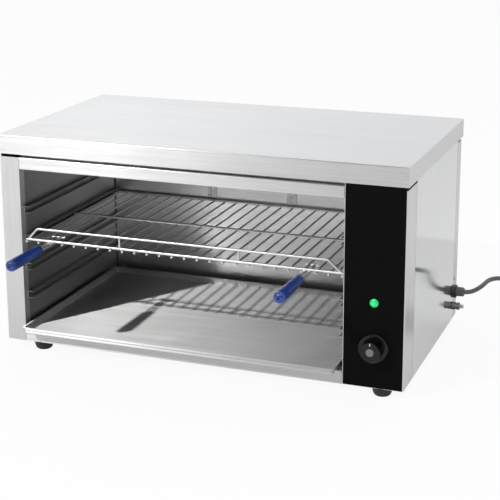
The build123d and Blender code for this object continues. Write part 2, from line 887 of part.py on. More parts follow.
# ---- lamp -----------------------------------------------------------------------------------------
fascia_plane = lamp_plane.offset(fascia_thickness)
lens_radius = lamp_lens_diameter / 2
lens_rim = lamp_lens_dome / 3
cap_height = lamp_lens_dome - lens_rim
cap_radius = (lens_radius**2 + cap_height**2) / (2 * cap_height)
with BuildPart() as lamp_lens:
    with BuildSketch(Plane(origin=fascia_plane.origin, x_dir=(1, 0, 0), z_dir=(0, 0, -1))):
        with BuildLine():
            Line((0, 0), (lens_radius, 0))
            Line((lens_radius, 0), (lens_radius, lens_rim))
            RadiusArc((lens_radius, lens_rim), (0, lamp_lens_dome), -cap_radius)
            Line((0, lamp_lens_dome), (0, 0))
        make_face()
    revolve(axis=Axis(fascia_plane.origin, fascia_plane.z_dir))
save(lamp_lens.part, "lamp_lens")

with BuildPart() as lamp_body:
    disc(fascia_plane, lamp_body_diameter, -lamp_body_length)
    disc(lamp_plane.offset(-sheet), lamp_clip_diameter, -lamp_clip_height)
save(lamp_body.part, "lamp_body")

# ---- thermostat, its shaft and the knob -----------------------------------------------------------
boss_reach = fascia_thickness + knob_clearance + skirt_height / 2
shaft_back = sheet + thermostat_depth / 2
shaft_front = knob_reach - skirt_height
with BuildPart() as thermostat_body:
    with BuildSketch(knob_plane.offset(-sheet)):
        RectangleRounded(thermostat_width, thermostat_height, bend)
    extrude(amount=-thermostat_depth)
    disc(knob_plane.offset(-sheet), boss_diameter, sheet + boss_reach)
    disc(
        knob_plane.offset(boss_reach),
        shaft_diameter + 2 * running_fit,
        -boss_reach - shaft_back - seat_gap,
        Mode.SUBTRACT,
    )
save(thermostat_body.part, "thermostat_body")

with BuildPart() as thermostat_shaft:
    disc(knob_plane.offset(-shaft_back), shaft_diameter, shaft_back + shaft_front)
    with BuildSketch(knob_plane.offset(boss_reach)):
        with Locations((0, shaft_diameter - shaft_flat)):
            Rectangle(shaft_diameter, shaft_diameter)
    extrude(amount=shaft_front, mode=Mode.SUBTRACT)
save(thermostat_shaft.part, "thermostat_shaft")

knob_back = fascia_thickness + knob_clearance
with BuildPart() as thermostat_knob:
    turned(
        knob_plane,
        [
            (0, knob_back),
            (skirt_diameter / 2, knob_back),
            (skirt_diameter / 2, knob_back + skirt_height / 2),
            (skirt_diameter / 2 - skirt_height / 3, knob_back + skirt_height),
            (hub_diameter / 2, knob_back + skirt_height),
            (hub_face_diameter / 2, knob_reach - knob_edge),
            (hub_face_diameter / 2 - knob_edge, knob_reach),
            (0, knob_reach),
        ],
    )
    disc(knob_plane.offset(knob_back), boss_diameter + 2 * knob_clearance, skirt_height, Mode.SUBTRACT)
    with BuildSketch(knob_plane.offset(knob_back)):
        Circle(shaft_diameter / 2 + running_fit)
        with Locations((0, shaft_diameter - shaft_flat + running_fit)):
            Rectangle(shaft_diameter, shaft_diameter, mode=Mode.SUBTRACT)
    extrude(amount=shaft_front - knob_back + seat_gap, mode=Mode.SUBTRACT)
    disc(
        knob_plane.offset(knob_reach),
        knob_disc_diameter + 2 * slip,
        -knob_disc_depth,
        Mode.SUBTRACT,
    )
save(thermostat_knob.part, "thermostat_knob")

with BuildPart() as knob_disc:
    disc(knob_plane.offset(knob_reach - knob_disc_depth), knob_disc_diameter, knob_disc_depth + slip)
save(knob_disc.part, "knob_disc")

# ---- terminal block on the base pan ---------------------------------------------------------------
with BuildPart() as terminal_block:
    with BuildSketch(Plane.XY.offset(pan_top)):
        with Locations((control_x, stud_y - terminal_length)):
            Rectangle(terminal_width, terminal_length)
    extrude(amount=terminal_height)
    with BuildSketch(Plane.XY.offset(pan_top + terminal_height)):
        with Locations((control_x, stud_y - terminal_length)):
            with GridLocations(terminal_width / 2, terminal_length / terminal_ways, 2, terminal_ways):
                Circle(terminal_hole_diameter / 2)
    extrude(amount=-terminal_height / 2, mode=Mode.SUBTRACT)
save(terminal_block.part, "terminal_block")

# ---- feet and their screws ------------------------------------------------------------------------
with BuildPart() as foot_mould:
    with BuildSketch(Plane.XZ):
        with BuildLine():
            Line((0, 0), (foot_flat_diameter / 2, 0))
            Spline(
                (foot_flat_diameter / 2, 0),
                (foot_waist_diameter / 2, foot_height / 3),
                (foot_diameter / 2, foot_height),
                tangents=[(1, foot_flare), (foot_flare / 2, 1)],
            )
            Line((foot_diameter / 2, foot_height), (0, foot_height))
            Line((0, foot_height), (0, 0))
        make_face()
    revolve(axis=Axis.Z)
    disc(Plane.XY, foot_recess_diameter, foot_recess_depth, Mode.SUBTRACT)
    disc(Plane.XY, foot_screw_diameter + 2 * hole_clearance, foot_height, Mode.SUBTRACT)

foot_names = (("front_left", "rear_left"), ("front_right", "rear_right"))
for x, column_names in zip(foot_x, foot_names):
    for y, corner in zip(foot_y, column_names):
        with BuildPart() as foot:
            with Locations((x, y)):
                add(foot_mould.part)
        save(foot.part, f"foot_{corner}")

with BuildPart() as foot_screws:
    for x in foot_x:
        for y in foot_y:
            seat = Plane((x, y, foot_recess_depth))
            disc(seat, screw_head_diameter, -screw_head_height)
            disc(seat, foot_screw_diameter, foot_height - foot_recess_depth + foot_screw_reach)
save(foot_screws.part, "foot_screws")

# ---- rear panel screws ----------------------------------------------------------------------------
with BuildPart() as rear_panel_screws:
    for plane in rear_screw_planes:
        disc(plane, panel_screw_head, panel_screw_head_height)
        disc(plane, panel_screw_diameter, -2 * sheet)
save(rear_panel_screws.part, "rear_panel_screws")

# ---- gland, bonding stud --------------------------------------------------------------------------
gland_nut_face = gland_plane.offset(gland_nut_length)
gland_cap_face = gland_nut_face.offset(gland_cap_length)
cord_seat = gland_cap_face.offset(-gland_bore_depth)
with BuildPart() as gland_body:
    with BuildSketch(gland_plane):
        RegularPolygon(gland_flats / 2, 6, major_radius=False)
    extrude(amount=gland_nut_length)
    disc(gland_plane, gland_shank_diameter, -gland_shank_length)
    with BuildSketch(gland_plane.offset(-sheet)):
        RegularPolygon(gland_flats / 2, 6, major_radius=False)
    extrude(amount=-gland_nut_length)
save(gland_body.part, "gland_body")

with BuildPart() as gland_cap:
    with BuildSketch(gland_nut_face):
        Circle(gland_cap_diameter / 2)
    with BuildSketch(gland_cap_face):
        Circle(gland_tip_diameter / 2)
    loft(ruled=True)
    fillet(gland_cap.faces().sort_by(Axis.X)[-1].edges(), bend)
    disc(gland_cap_face, cord_diameter + 2 * hole_clearance, -gland_bore_depth, Mode.SUBTRACT)
save(gland_cap.part, "gland_cap")

with BuildPart() as bonding_stud:
    disc(stud_plane.offset(-sheet), stud_diameter, stud_reach + sheet)
    with BuildSketch(stud_plane.offset(-sheet)):
        RegularPolygon(stud_flats / 2, 6, major_radius=False)
    extrude(amount=-stud_head_height)
save(bonding_stud.part, "bonding_stud")

with BuildPart() as bonding_nuts:
    with BuildSketch(stud_plane):
        Circle(washer_diameter / 2)
        Circle(stud_diameter / 2 + running_fit, mode=Mode.SUBTRACT)
    extrude(amount=washer_thickness)
    for nut_index in range(2):
        nut_start = washer_thickness + nut_index * (stud_nut_height + stud_nut_space)
        with BuildSketch(stud_plane.offset(nut_start)):
            RegularPolygon(stud_flats / 2, 6, major_radius=False)
            Circle(stud_diameter / 2 + running_fit, mode=Mode.SUBTRACT)
        extrude(amount=stud_nut_height)
save(bonding_nuts.part, "bonding_nuts")

# ---- mains cord: the free stretch -----------------------------------------------------------------
# Route of the cord's middle line, chosen by hand: out of the gland, back past the cabinet's corner,
# then down to the floor and round into the coil.
cord_start = Vector(cord_seat.origin)
gland_tip = Vector(gland_cap_face.origin)
coil_centre = Vector(
    gland_tip.X + coil_from_gland,
    gland_tip.Y - coil_ahead,
    cord_diameter / 2,
)
coil_entry = coil_centre + Vector(coil_radius, 0, 0)
cord_points = [
    cord_start,
    gland_tip + Vector(5.4, 0.0, 0.0),
    gland_tip + Vector(16.4, 3.1, 3.7),
    gland_tip + Vector(26.1, 12.8, 9.8),
    gland_tip + Vector(33.0, 28.2, 16.0),
    gland_tip + Vector(49.4, 39.7, 16.7),
    gland_tip + Vector(84.2, 52.4, 8.2),
    gland_tip + Vector(125.6, 52.4, -12.0),
    gland_tip + Vector(157.9, 32.2, -34.0),
    gland_tip + Vector(170.9, 3.0, -45.6),
    coil_entry + Vector(0.0, 24.0, 0.0),
    coil_entry,
]


def route_radii(points, tube_name):
    """As large an arc at each point as its two runs allow, printed with the route's length."""
    radii = []
    runs = [(b - a).length for a, b in zip(points, points[1:])]
    for index in range(1, len(points) - 1):
        into = points[index] - points[index - 1]
        out = points[index + 1] - points[index]
        turn = math.radians(into.get_angle(out))
        radii.append(0.45 * min(runs[index - 1], runs[index]) / math.tan(turn / 2))
    print(tube_name, "radii", [round(r, 1) for r in radii], "runs", [round(r, 1) for r in runs])
    return radii


cord_radii = route_radii(cord_points, "power_cord")
with BuildPart() as power_cord:
    with BuildLine() as cord_line:
        FilletPolyline(*cord_points, radius=cord_radii)
    with BuildSketch(Plane(cord_line.line @ 0, z_dir=cord_line.line % 0)):
        Circle(cord_diameter / 2)
    sweep()
cord_section = math.pi * cord_diameter**2 / 4
cord_length = sum(edge.length for edge in cord_line.edges())
cord_ratio = power_cord.part.volume / (cord_section * cord_length)
print("power_cord length", round(cord_length, 1), "volume ratio", round(cord_ratio, 4))
save(power_cord.part, "power_cord")

# ---- mains cord: the spare length, coiled on the floor in two layers ------------------------------
turns_total = 2 * coil_turns_per_layer
climb_start = turns_total / 2 - 0.25


def coil_point(turn):
    """Middle line after so many turns: spiral in, climb a layer in half a turn, spiral out."""
    from_middle = abs(turn - turns_total / 2)
    radius = coil_radius - coil_turn_pitch * (coil_turns_per_layer - from_middle)
    climbed = min(max((turn - climb_start) / 0.5, 0.0), 1.0)
    angle = -2 * math.pi * turn
    return coil_centre + Vector(
        radius * math.cos(angle),
        radius * math.sin(angle),
        coil_turn_pitch * climbed,
    )


def coil_tangent(turn, step=1e-4):
    """Direction of travel, from points on either side, level at both ends of the climb."""
    ahead = coil_point(turn + step) - coil_point(turn - step)
    at_climb_end = min(abs(turn - climb_start), abs(turn - climb_start - 0.5)) < step
    if at_climb_end:
        ahead = Vector(ahead.X, ahead.Y, 0)
    return ahead.normalized()


def biarc_joint(start, start_dir, end, end_dir):
    """Middle point and direction of the two equal-reach arcs that join two directed points."""
    across_gap = end - start
    dirs = start_dir + end_dir
    spread = 2 * (1 - start_dir.dot(end_dir))
    if spread < 1e-9:
        reach = across_gap.dot(across_gap) / (4 * across_gap.dot(end_dir))
    else:
        projected = across_gap.dot(dirs)
        root = math.sqrt(projected**2 + spread * across_gap.dot(across_gap))
        reach = (root - projected) / spread
    near = start + start_dir * reach
    far = end - end_dir * reach
    return (near + far) * 0.5, (far - near).normalized()


coil_turns = [step / coil_quarters for step in range(round(turns_total * coil_quarters) + 1)]
coil_nodes = [(coil_point(turn), coil_tangent(turn)) for turn in coil_turns]
coil_nodes[0] = (coil_nodes[0][0], Vector(0, -1, 0))
coil_nodes[-1] = (coil_nodes[-1][0], Vector(0, -1, 0))
# The last run leaves the coil, rises to the plug's height and lies level for one diameter.
plug_joint = coil_nodes[-1][0] + Vector(0, -plug_lead, 0)
plug_joint = Vector(plug_joint.X, plug_joint.Y, plug_height)
plug_seat = plug_joint + Vector(0, -cord_diameter, 0)
coil_nodes.append((plug_joint, Vector(0, -1, 0)))
with BuildPart() as cord_coil:
    with BuildLine() as coil_line:
        for (start, start_dir), (end, end_dir) in zip(coil_nodes, coil_nodes[1:]):
            middle, middle_dir = biarc_joint(start, start_dir, end, end_dir)
            TangentArc(start, middle, tangent=start_dir)
            TangentArc(middle, end, tangent=middle_dir)
        Line(plug_joint, plug_seat)
    with BuildSketch(Plane(coil_line.line @ 0, z_dir=coil_line.line % 0)):
        Circle(cord_diameter / 2)
    sweep()
coil_length = sum(edge.length for edge in coil_line.edges())
coil_wire = coil_line.wires()[0]
samples = [coil_wire @ (index / 720) for index in range(721)]
near_along = round(720 * 3 * cord_diameter / coil_length)
least_gap = min(
    (samples[i] - samples[j]).length
    for i in range(len(samples))
    for j in range(i + near_along, len(samples))
)
print("cord_coil length", round(coil_length, 1), "least gap", round(least_gap - cord_diameter, 2))
print("cord_coil volume ratio", round(cord_coil.part.volume / (cord_section * coil_length), 4))
save(cord_coil.part, "cord_coil")

# ---- plug -----------------------------------------------------------------------------------------
plug_plane = Plane(origin=plug_seat, x_dir=(1, 0, 0), z_dir=(0, -1, 0))
pin_plane = plug_plane.offset(plug_tail_length + plug_body_length)
with BuildPart() as plug:
    turned(
        plug_plane,
        [
            (0, 0),
            (plug_collar_diameter / 2, 0),
            (plug_tail_diameter / 2, plug_tail_length),
            (plug_waist_diameter / 2, plug_tail_length + plug_waist_from_tail),
            (plug_diameter / 2, plug_tail_length + plug_shoulder_from_tail),
            (plug_diameter / 2, plug_tail_length + plug_body_length),
            (0, plug_tail_length + plug_body_length),
        ],
    )
    with BuildSketch(pin_plane):
        with GridLocations(plug_pin_spacing, 0, 2, 1):
            Circle(plug_pin_diameter / 2)
    extrude(amount=plug_pin_length)
save(plug.part, "plug")
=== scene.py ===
import math
import random

import bmesh
import bpy
from mathutils import Matrix, Vector


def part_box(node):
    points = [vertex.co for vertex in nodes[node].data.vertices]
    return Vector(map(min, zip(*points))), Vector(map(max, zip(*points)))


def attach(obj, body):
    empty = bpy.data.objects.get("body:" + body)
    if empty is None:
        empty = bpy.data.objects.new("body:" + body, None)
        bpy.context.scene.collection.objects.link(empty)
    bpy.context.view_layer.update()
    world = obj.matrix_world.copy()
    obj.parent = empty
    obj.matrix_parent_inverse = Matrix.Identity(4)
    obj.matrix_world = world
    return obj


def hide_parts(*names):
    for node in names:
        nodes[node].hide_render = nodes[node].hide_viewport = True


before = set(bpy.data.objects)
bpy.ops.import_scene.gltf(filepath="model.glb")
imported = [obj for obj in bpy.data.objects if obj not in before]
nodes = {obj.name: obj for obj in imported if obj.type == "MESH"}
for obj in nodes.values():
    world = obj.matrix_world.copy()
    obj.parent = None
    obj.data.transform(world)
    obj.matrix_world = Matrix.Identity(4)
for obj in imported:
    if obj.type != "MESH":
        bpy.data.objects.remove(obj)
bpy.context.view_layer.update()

bl_info = {
    "name": "Cheese melter",
    "version": (1, 0, 0),
    "blender": (4, 5, 0),
    "location": "3D View > Sidebar > Cheese melter",
    "description": "Dresses a counter-top cheese melter: sheet steel, wire rack, controls and cord",
    "category": "Object",
}


# ---- small helpers ----------------------------------------------------------------------------

def linear(hex_colour):
    """An sRGB hex colour as linear red, green, blue and a full alpha."""
    channels = [int(hex_colour[i:i + 2], 16) / 255 for i in (1, 3, 5)]
    return tuple(c / 12.92 if c <= 0.04045 else ((c + 0.055) / 1.055) ** 2.4 for c in channels) + (1.0,)


def per_mm(size):
    """Texture scale at which one repeat of a pattern is that many millimetres."""
    return 1000.0 / size


def add(tree, kind, inputs, output=0, **settings):
    """Adds a node and returns one of its outputs. An input given as an output is linked, and any
    other value is set."""
    node = tree.nodes.new(kind)
    for name, value in settings.items():
        setattr(node, name, value)
    for name, value in inputs.items():
        if isinstance(value, bpy.types.NodeSocket):
            tree.links.new(value, node.inputs[name])
        else:
            node.inputs[name].default_value = value
    return node.outputs[output] if node.outputs else None


def empty_material(name):
    """A node material of that name with nothing in it, and its tree."""
    material = bpy.data.materials.new(name)
    material.use_nodes = True
    material.node_tree.nodes.clear()
    return material, material.node_tree


def dress(material, *node_names):
    """Puts a material on carried-over nodes."""
    for name in node_names:
        piece = nodes[name]
        if not piece.material_slots:
            piece.data.materials.append(material)
        for place in piece.material_slots:
            place.material = material


def add_piece(name, build, material, body, smooth=True):
    """A new mesh piece: build fills a bmesh, then it gets its material and its body."""
    shape = bmesh.new()
    build(shape)
    bmesh.ops.recalc_face_normals(shape, faces=shape.faces)
    mesh = bpy.data.meshes.new(name)
    shape.to_mesh(mesh)
    shape.free()
    for face in mesh.polygons:
        face.use_smooth = smooth
    mesh.materials.append(material)
    piece = bpy.data.objects.new(name, mesh)
    bpy.context.scene.collection.objects.link(piece)
    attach(piece, body)
    return piece


def settings_of(context, group):
    """The values of one property group."""
    return getattr(context.scene, group)


# ---- finishes ---------------------------------------------------------------------------------

# Brushed lines are 0.1 to 0.3 mm wide. They are drawn wider, because finer ones don't show.
FINE_LINE = (1.3, 90)       # width and length in mm
BROAD_LINE = (4, 250)
FINE_SHARE = 0.6            # of the streaks, the rest being broad lines
LINE_SPREAD = 0.035         # how far the lines change the roughness, either way
LINE_DEPTH = 0.0003
LINE_RELIEF = 0.05
HANDLING_PATCH = 90         # mm across
PATCH_SPREAD = 0.02         # how far the patches change the roughness, either way

# Directions along and across the brushed lines.
LENGTHWAYS = ((1, 0, 0), (0, 1, 1))
UPRIGHT = ((0, 0, 1), (1, 1, 0))
INWARDS = ((0, 1, 0), (1, 0, 1))

# Most of a noise's values lie between these two.
NOISE_LOW = 0.25
NOISE_HIGH = 0.75

# How far the marks on plain metal, and the grain of a moulding, make it glossier or duller.
METAL_GLOSSIER = 0.05
METAL_DULLER = 0.07
MOULDING_GLOSSIER = 0.04
MOULDING_DULLER = 0.06
MOULDING_PATCH = 14         # times the size of its grain
MARK_DEPTH = 0.0001
MARK_RELIEF = 0.15
GRAIN_RELIEF = 0.35
COAT_ROUGHNESS = 0.15


def brushed_steel(name, colour, worn_colour, direction, roughness, anisotropy, strength=1.0):
    """Stainless sheet, belt-brushed: long fine scratches along the grain. The eye sees streaks
    along the grain, and highlights pulled out into bands across it."""
    grain, across = direction
    material, tree = empty_material(name)
    point = add(tree, "ShaderNodeTexCoord", {}, "Object")
    lines = []
    for (width, length), detail, coarse in ((FINE_LINE, 3.0, 0.6), (BROAD_LINE, 2.0, 0.5)):
        stretch = [per_mm(length) if axis else per_mm(width) for axis in grain]
        stretched = add(tree, "ShaderNodeMapping", {"Vector": point, "Scale": stretch})
        lines.append(add(
            tree, "ShaderNodeTexNoise",
            {"Vector": stretched, "Scale": 1.0, "Detail": detail, "Roughness": coarse}, "Fac"))
    broad_part = add(tree, "ShaderNodeMath", {0: lines[1], 1: 1 - FINE_SHARE}, operation="MULTIPLY")
    streaks = add(
        tree, "ShaderNodeMath", {0: lines[0], 1: FINE_SHARE, 2: broad_part}, operation="MULTIPLY_ADD")
    # Rolling and handling leave soft patches.
    patches = add(
        tree, "ShaderNodeTexNoise", {"Vector": point, "Scale": per_mm(HANDLING_PATCH), "Detail": 2.0}, "Fac")
    change = LINE_SPREAD * strength
    line_rough = add(
        tree, "ShaderNodeMapRange",
        {"Value": streaks, "From Min": 0.35, "From Max": 0.65,
         "To Min": roughness - change, "To Max": roughness + change}, "Result")
    patch_rough = add(
        tree, "ShaderNodeMapRange",
        {"Value": patches, "From Min": NOISE_LOW, "From Max": NOISE_HIGH,
         "To Min": -PATCH_SPREAD, "To Max": PATCH_SPREAD}, "Result")
    tone = add(
        tree, "ShaderNodeMapRange",
        {"Value": streaks, "From Min": 0.3, "From Max": 0.7, "To Min": 0.0, "To Max": 1.0}, "Result")
    steel = {
        "Base Color": add(
            tree, "ShaderNodeMix",
            {0: tone, 6: linear(worn_colour), 7: linear(colour)}, 2, data_type="RGBA"),
        "Metallic": 1.0,
        "Roughness": add(tree, "ShaderNodeMath", {0: line_rough, 1: patch_rough}, operation="ADD"),
        "Anisotropic": anisotropy,
        "Normal": add(
            tree, "ShaderNodeBump",
            {"Strength": LINE_RELIEF * strength, "Distance": LINE_DEPTH, "Height": streaks}),
        "Tangent": add(
            tree, "ShaderNodeCombineXYZ",
            {"X": float(across[0]), "Y": float(across[1]), "Z": float(across[2])}),
    }
    add(tree, "ShaderNodeOutputMaterial", {"Surface": add(tree, "ShaderNodeBsdfPrincipled", steel)})
    return material


def plain_metal(name, colour, dull_colour, roughness, mark_size):
    """Bare or plated metal. Small dull patches break its reflections, so that it isn't a mirror."""
    material, tree = empty_material(name)
    point = add(tree, "ShaderNodeTexCoord", {}, "Object")
    marks = add(
        tree, "ShaderNodeTexNoise",
        {"Vector": point, "Scale": per_mm(mark_size), "Detail": 3.0, "Roughness": 0.6}, "Fac")
    tone = add(
        tree, "ShaderNodeMapRange", {"Value": marks, "From Min": NOISE_LOW, "From Max": NOISE_HIGH}, "Result")
    metal = {
        "Base Color": add(
            tree, "ShaderNodeMix",
            {0: tone, 6: linear(dull_colour), 7: linear(colour)}, 2, data_type="RGBA"),
        "Metallic": 1.0,
        "Roughness": add(
            tree, "ShaderNodeMapRange",
            {"Value": marks, "From Min": NOISE_LOW, "From Max": NOISE_HIGH,
             "To Min": roughness - METAL_GLOSSIER, "To Max": roughness + METAL_DULLER}, "Result"),
        "Normal": add(
            tree, "ShaderNodeBump",
            {"Strength": MARK_RELIEF, "Distance": MARK_DEPTH, "Height": marks}),
    }
    add(tree, "ShaderNodeOutputMaterial", {"Surface": add(tree, "ShaderNodeBsdfPrincipled", metal)})
    return material


def moulded(name, colour, shade, roughness, grain_size, grain_depth, ior=1.5, coat=0.0, sheen=0.0):
    """Moulded plastic or rubber: an even colour, with the fine grain of its mould in the gloss."""
    material, tree = empty_material(name)
    point = add(tree, "ShaderNodeTexCoord", {}, "Object")
    grain = add(
        tree, "ShaderNodeTexNoise",
        {"Vector": point, "Scale": per_mm(grain_size), "Detail": 3.0, "Roughness": 0.55}, "Fac")
    patches = add(
        tree, "ShaderNodeTexNoise",
        {"Vector": point, "Scale": per_mm(grain_size * MOULDING_PATCH), "Detail": 2.0}, "Fac")
    tone = add(
        tree, "ShaderNodeMapRange",
        {"Value": patches, "From Min": NOISE_LOW, "From Max": NOISE_HIGH}, "Result")
    plastic = {
        "Base Color": add(
            tree, "ShaderNodeMix", {0: tone, 6: linear(shade), 7: linear(colour)}, 2, data_type="RGBA"),
        "Roughness": add(
            tree, "ShaderNodeMapRange",
            {"Value": grain, "From Min": NOISE_LOW, "From Max": NOISE_HIGH,
             "To Min": roughness - MOULDING_GLOSSIER, "To Max": roughness + MOULDING_DULLER}, "Result"),
        "IOR": ior,
        "Coat Weight": coat,
        "Coat Roughness": COAT_ROUGHNESS,
        "Sheen Weight": sheen,
        "Normal": add(
            tree, "ShaderNodeBump",
            {"Strength": GRAIN_RELIEF, "Distance": grain_depth, "Height": grain}),
    }
    add(tree, "ShaderNodeOutputMaterial", {"Surface": add(tree, "ShaderNodeBsdfPrincipled", plastic)})
    return material


def mineral_wool():
    """Mineral wool mat, needled: loose cream fibres a few millimetres long, with no gloss."""
    material, tree = empty_material("mineral_wool_needled")
    point = add(tree, "ShaderNodeTexCoord", {}, "Object")
    fibres = add(
        tree, "ShaderNodeTexNoise",
        {"Vector": point, "Scale": per_mm(2.5), "Detail": 5.0, "Roughness": 0.75}, "Fac")
    clumps = add(tree, "ShaderNodeTexNoise", {"Vector": point, "Scale": per_mm(18), "Detail": 3.0}, "Fac")
    tone = add(
        tree, "ShaderNodeMapRange",
        {"Value": clumps, "From Min": NOISE_LOW, "From Max": NOISE_HIGH}, "Result")
    wool = {
        "Base Color": add(
            tree, "ShaderNodeMix",
            {0: tone, 6: linear("#a89f86"), 7: linear("#d6cfb8")}, 2, data_type="RGBA"),
        "Roughness": 0.95,
        "Sheen Weight": 0.3,
        "Normal": add(tree, "ShaderNodeBump", {"Strength": 0.8, "Distance": 0.0012, "Height": fibres}),
    }
    add(tree, "ShaderNodeOutputMaterial", {"Surface": add(tree, "ShaderNodeBsdfPrincipled", wool)})
    return material


LENS_REACH = 1.25           # of the lens's radius, where its colour is at its darkest


def lit_lens(colour, glow):
    """Polycarbonate lens over a lit neon: it glows evenly, brighter in the middle of its dome."""
    material, tree = empty_material("polycarbonate_lens_lit")
    point = add(tree, "ShaderNodeTexCoord", {}, "Object")
    low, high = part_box("lamp_lens")
    away = add(
        tree, "ShaderNodeVectorMath", {0: point, 1: tuple((low + high) / 2)}, "Value", operation="DISTANCE")
    rim = (high.x - low.x) / 2 * LENS_REACH
    tone = add(
        tree, "ShaderNodeMapRange",
        {"Value": away, "From Min": 0.0, "From Max": rim, "To Min": 1.0, "To Max": 0.0}, "Result")
    lens = {
        "Base Color": add(
            tree, "ShaderNodeMix", {0: tone, 6: linear("#0a8f4a"), 7: linear(colour)}, 2, data_type="RGBA"),
        "Roughness": 0.18,
        "IOR": 1.585,
        "Emission Color": add(
            tree, "ShaderNodeMix", {0: tone, 6: linear("#079a4c"), 7: linear(colour)}, 2, data_type="RGBA"),
        "Emission Strength": glow,
    }
    add(tree, "ShaderNodeOutputMaterial", {"Surface": add(tree, "ShaderNodeBsdfPrincipled", lens)})
    return material


# ---- values a user would change ---------------------------------------------------------------

class MelterSteel(bpy.types.PropertyGroup):
    outer: bpy.props.StringProperty(
        name="Outer steel", description="Colour of the brushed panels", default="#e4e4e3")
    outer_worn: bpy.props.StringProperty(
        name="Outer grain", description="Colour in the deeper brushed lines", default="#d2d2d1")
    outer_roughness: bpy.props.FloatProperty(
        name="Outer roughness", description="How soft the panels' reflections are",
        default=0.34, min=0.05, max=1.0, subtype="FACTOR")
    side_roughness: bpy.props.FloatProperty(
        name="Side roughness", description="How soft the plain side's reflections are",
        default=0.1, min=0.05, max=1.0, subtype="FACTOR")
    # The cavity's colours are set darker than the outer steel, as painted shade of the cavity.
    inner: bpy.props.StringProperty(
        name="Cavity steel", description="Colour of the cavity's liners", default="#b9b9b9")
    inner_worn: bpy.props.StringProperty(
        name="Cavity grain", description="Colour in the liners' rolled lines", default="#a8a8a8")
    inner_roughness: bpy.props.FloatProperty(
        name="Cavity roughness", description="How soft the liners' reflections are",
        default=0.36, min=0.05, max=1.0, subtype="FACTOR")
    anisotropy: bpy.props.FloatProperty(
        name="Brushing", description="How far highlights are pulled across the grain",
        default=0.9, min=0.0, max=1.0, subtype="FACTOR")


class MelterRack(bpy.types.PropertyGroup):
    wire: bpy.props.StringProperty(
        name="Wire", description="Colour of the plated wire", default="#f2f2f3")
    bead: bpy.props.FloatProperty(
        name="Weld bead", description="Radius of a resistance-weld bead at a crossing",
        default=0.0013, min=0.0, max=0.003, unit="LENGTH", precision=4)
    stem_bead: bpy.props.FloatProperty(
        name="Stem bead", description="Radius of the larger beads at the handle stems",
        default=0.0021, min=0.0, max=0.004, unit="LENGTH", precision=4)
    grip: bpy.props.StringProperty(
        name="Grip", description="Colour of the handle grips", default="#153f96")
    grip_shade: bpy.props.StringProperty(
        name="Grip shade", description="Darker colour in the grips' mottle", default="#12357c")


class MelterControls(bpy.types.PropertyGroup):
    fascia: bpy.props.StringProperty(
        name="Fascia", description="Colour of the control panel's skin", default="#0b0b0b")
    lamp: bpy.props.StringProperty(
        name="Lamp", description="Colour of the lit lens", default="#1fe07f")
    lamp_glow: bpy.props.FloatProperty(
        name="Lamp glow", description="Strength of the lit lens", default=0.7, min=0.0, max=5.0)
    tick_length: bpy.props.FloatProperty(
        name="Pointer length", description="Length of the knob's pointer mark",
        default=0.0042, min=0.001, max=0.008, unit="LENGTH", precision=4)
    tick_width: bpy.props.FloatProperty(
        name="Pointer width", description="Width of the knob's pointer mark",
        default=0.0011, min=0.0004, max=0.003, unit="LENGTH", precision=4)


class MelterCord(bpy.types.PropertyGroup):
    diameter: bpy.props.FloatProperty(
        name="Cord diameter", description="Outside diameter of the mains cord",
        default=0.007, min=0.004, max=0.012, unit="LENGTH", precision=4)
    colour: bpy.props.StringProperty(
        name="Cord", description="Colour of the cord's rubber jacket", default="#77797c")
    coil_radius: bpy.props.FloatProperty(
        name="Coil radius", description="Radius of the outermost turn, at the middle of the cord",
        default=0.049, min=0.03, max=0.1, unit="LENGTH", precision=4)
    turn_pitch: bpy.props.FloatProperty(
        name="Turn pitch", description="From one turn or layer to the next",
        default=0.0076, min=0.007, max=0.012, unit="LENGTH", precision=4)


class MelterStage(bpy.types.PropertyGroup):
    key_power: bpy.props.FloatProperty(
        name="Key light", description="Power of the main lamp", default=115.0, min=0.0, unit="POWER")
    fill_power: bpy.props.FloatProperty(
        name="Fill light", description="Power of the large soft lamp", default=18.0, min=0.0, unit="POWER")
    backdrop: bpy.props.FloatProperty(
        name="Backdrop", description="Brightness of the backdrop in the steel",
        default=1.08, min=0.0, max=3.0)
    room: bpy.props.FloatProperty(
        name="Room", description="Brightness of the room in front", default=0.16, min=0.0, max=3.0)
    lens: bpy.props.FloatProperty(
        name="Lens", description="Camera's focal length in millimetres",
        default=97.68, min=20.0, max=300.0)


# ---- cabinet ----------------------------------------------------------------------------------

class MELTER_OT_cabinet(bpy.types.Operator):
    """Gives the outer sheet-steel pieces their brushed finish"""
    bl_idname = "melter.cabinet"
    bl_label = "Cabinet"

    def execute(self, context):
        steel = settings_of(context, "melter_steel")
        lengthways = brushed_steel(
            "stainless_sheet_brushed_lengthways", steel.outer, steel.outer_worn,
            LENGTHWAYS, steel.outer_roughness, steel.anisotropy)
        upright = brushed_steel(
            "stainless_sheet_brushed_upright", steel.outer, steel.outer_worn,
            UPRIGHT, steel.outer_roughness, steel.anisotropy)
        dress(lengthways, "top_cover", "front_lintel", "front_sill", "base_pan")
        dress(upright, "left_side_panel", "control_column", "rear_panel")
        # Stainless side, brushed finer: it mirrors the floor and the backdrop almost clearly.
        glossier = brushed_steel(
            "stainless_side_brushed_upright", steel.outer, steel.outer_worn,
            UPRIGHT, steel.side_roughness, anisotropy=0.6)
        dress(glossier, "right_side_panel")
        return {"FINISHED"}


LINER_BRUSHING = 0.8        # of the outer panels'
BACK_BRUSHING = 0.5
BACK_GLOSSIER = 0.06        # roughness less than the other liners'
TRAY_DULLER = 0.1           # roughness more than the outer panels'


